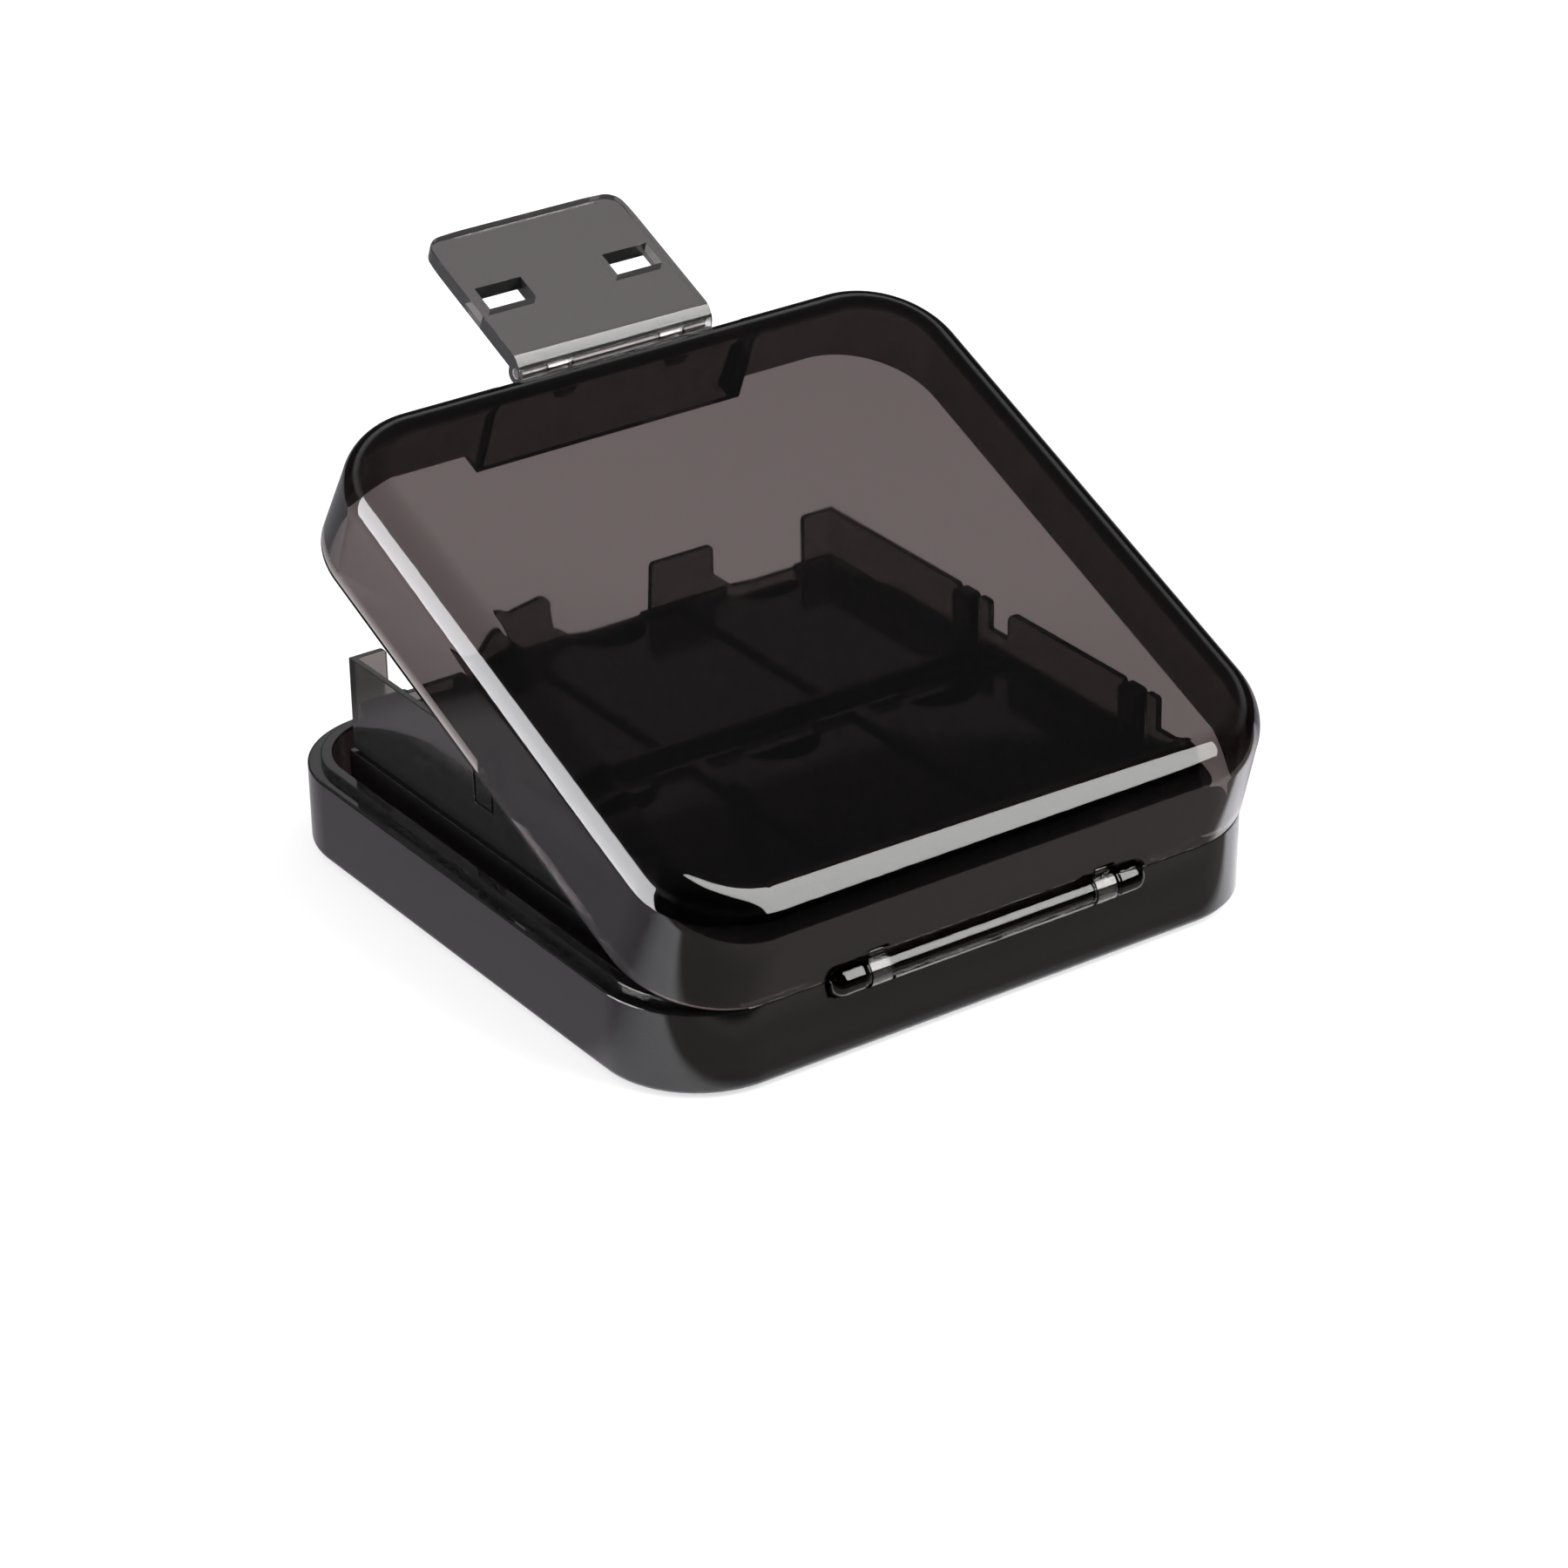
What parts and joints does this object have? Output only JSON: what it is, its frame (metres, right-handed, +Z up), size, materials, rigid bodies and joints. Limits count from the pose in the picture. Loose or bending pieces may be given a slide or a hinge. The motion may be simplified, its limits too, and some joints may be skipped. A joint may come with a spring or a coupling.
{
  "type": "game card case",
  "caption": "Square pocket case for small game cards: smoky clear base and hinged deep lid, swing-out latch with two slots, and stacked card racks with lift-out trays inside.",
  "frame": {"origin": "centre of the flat underside of the base", "axes": "+Z up from the table, X along the lid's hinge, hinge face at -Y, latch face at +Y"},
  "size_m": [0.082, 0.0936, 0.0627],
  "materials": {
    "smoky_clear_plastic": "polished moulded plastic, smoky grey-brown and see-through",
    "smoky_axle_plastic": "polished moulded plastic, smoky, nearly black at this thickness",
    "smoky_rack_plastic": "moulded plastic, dark smoky, semi-gloss",
    "bright_steel": "drawn steel wire"
  },
  "bodies": {
    "base": {"base_shell": "smoky_clear_plastic", "hinge_axle": "smoky_axle_plastic", "lower_rack": "smoky_rack_plastic", "upper_rack": "smoky_rack_plastic", "far_card_tray": "smoky_rack_plastic", "near_card_tray": "smoky_rack_plastic"},
    "lid": {"lid_shell": "smoky_clear_plastic", "latch_pin": "bright_steel"},
    "latch": {"latch_flap": "smoky_clear_plastic"}
  },
  "joints": [
    {"name": "lid_hinge", "type": "hinge", "parent": "base", "child": "lid", "pos_m": [0, -0.041, 0.00934], "axis": [1, 0, 0], "range_deg": [-23.03, 116.97]},
    {"name": "latch_swing", "type": "hinge", "parent": "lid", "child": "latch", "pos_m": [0, 0.02979, 0.05243], "axis": [1, 0, 0], "range_deg": [-90, 75]}
  ]
}
